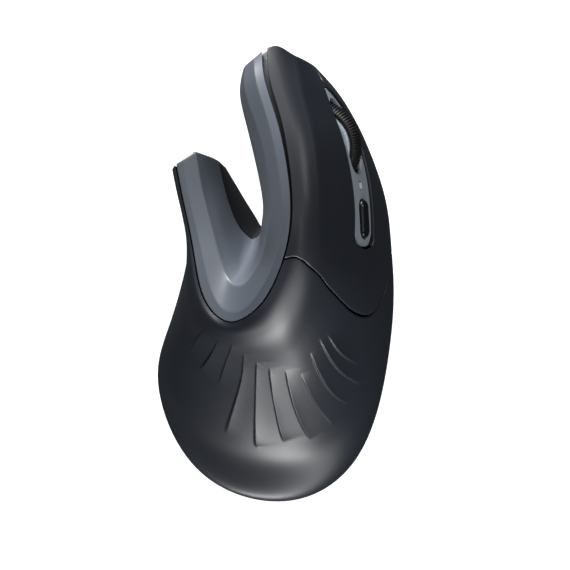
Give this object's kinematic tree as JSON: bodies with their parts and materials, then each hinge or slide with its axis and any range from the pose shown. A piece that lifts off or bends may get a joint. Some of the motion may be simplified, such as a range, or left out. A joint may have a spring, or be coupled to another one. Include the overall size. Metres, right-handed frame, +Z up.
{
  "type": "computer mouse",
  "caption": "Right-handed vertical wireless mouse: tall finger ridge with two buttons, tilted scroll wheel and mode key, grey thumb saddle and low thumb wing.",
  "frame": {"origin": "on the desk plane under the middle of the footprint", "axes": "+X to the user's right, +Y forward along the mouse, +Z up"},
  "size_m": [0.0594, 0.1138, 0.0621],
  "materials": {
    "shell": "satin dark blue-grey moulding",
    "dark": "satin near-black moulding",
    "insert": "satin mid-grey moulding",
    "silver": "satin light grey plastic",
    "black": "plain black plastic",
    "gloss": "gloss black plastic",
    "rubber": "ribbed black rubber",
    "board": "green circuit board",
    "steel": "plated steel",
    "glide": "smooth low-friction pad",
    "clear": "clear moulded lens",
    "cell": "foil pouch cell",
    "lamp": "milky light window"
  },
  "bodies": {
    "housing": {"base_plate": "dark", "palm_shell": "shell", "top_cover": "shell", "wheel_strip": "silver", "thumb_saddle": "insert", "thumb_wall": "dark", "seam_trim": "black", "front_cap": "dark", "wing_cap": "dark", "button_board": "board", "inner_frame": "black", "left_switch": "black", "right_switch": "black", "middle_switch": "black", "dpi_switch": "black", "status_lamp": "lamp", "main_board": "board", "motion_sensor": "black", "sensor_lens": "clear", "power_switch": "black", "battery": "cell", "battery_lead": "black", "charge_board": "board", "usb_c_port": "steel", "ribbon_cable": "silver", "glide_foot_front": "glide", "glide_foot_wing": "glide", "glide_foot_rear": "glide", "glide_foot_side": "glide", "base_screw_1": "steel", "base_screw_2": "steel", "base_screw_3": "steel", "base_screw_4": "steel", "base_screw_5": "steel"},
    "left_button": {"left_button": "shell"},
    "right_button": {"right_button": "shell"},
    "wheel_carrier": {"wheel_bracket": "black", "scroll_encoder": "black"},
    "scroll_wheel": {"scroll_tyre": "rubber", "scroll_hub": "silver"},
    "dpi_key": {"dpi_button": "gloss"},
    "power_knob": {"power_slider": "silver"}
  },
  "joints": [
    {"name": "left_click", "type": "hinge", "parent": "housing", "child": "left_button", "pos_m": [0.01416, 0.01722, 0.05189], "axis": [-0.5346, 0.0156, 0.845], "range_deg": [0, 1], "stiffness_Nm_per_rad": 2.2},
    {"name": "right_click", "type": "hinge", "parent": "housing", "child": "right_button", "pos_m": [0.02578, 0.01687, 0.02348], "axis": [-0.1639, 0.0073, 0.9864], "range_deg": [0, 1], "stiffness_Nm_per_rad": 2.2},
    {"name": "wheel_press", "type": "slide", "parent": "housing", "child": "wheel_carrier", "axis": [-0.866, -0.3454, -0.3616], "range_m": [0, 0.0003], "stiffness_N_per_m": 2500},
    {"name": "wheel_spin", "type": "hinge", "parent": "wheel_carrier", "child": "scroll_wheel", "pos_m": [0.01002, 0.03236, 0.03567], "axis": [0.333, 0.1412, -0.9323], "continuous": true},
    {"name": "dpi_press", "type": "slide", "parent": "housing", "child": "dpi_key", "axis": [-0.8958, -0.0473, -0.442], "range_m": [0, 0.0004], "stiffness_N_per_m": 1500},
    {"name": "power_slide", "type": "slide", "parent": "housing", "child": "power_knob", "axis": [0, 1, 0], "range_m": [0, 0.0025]}
  ]
}
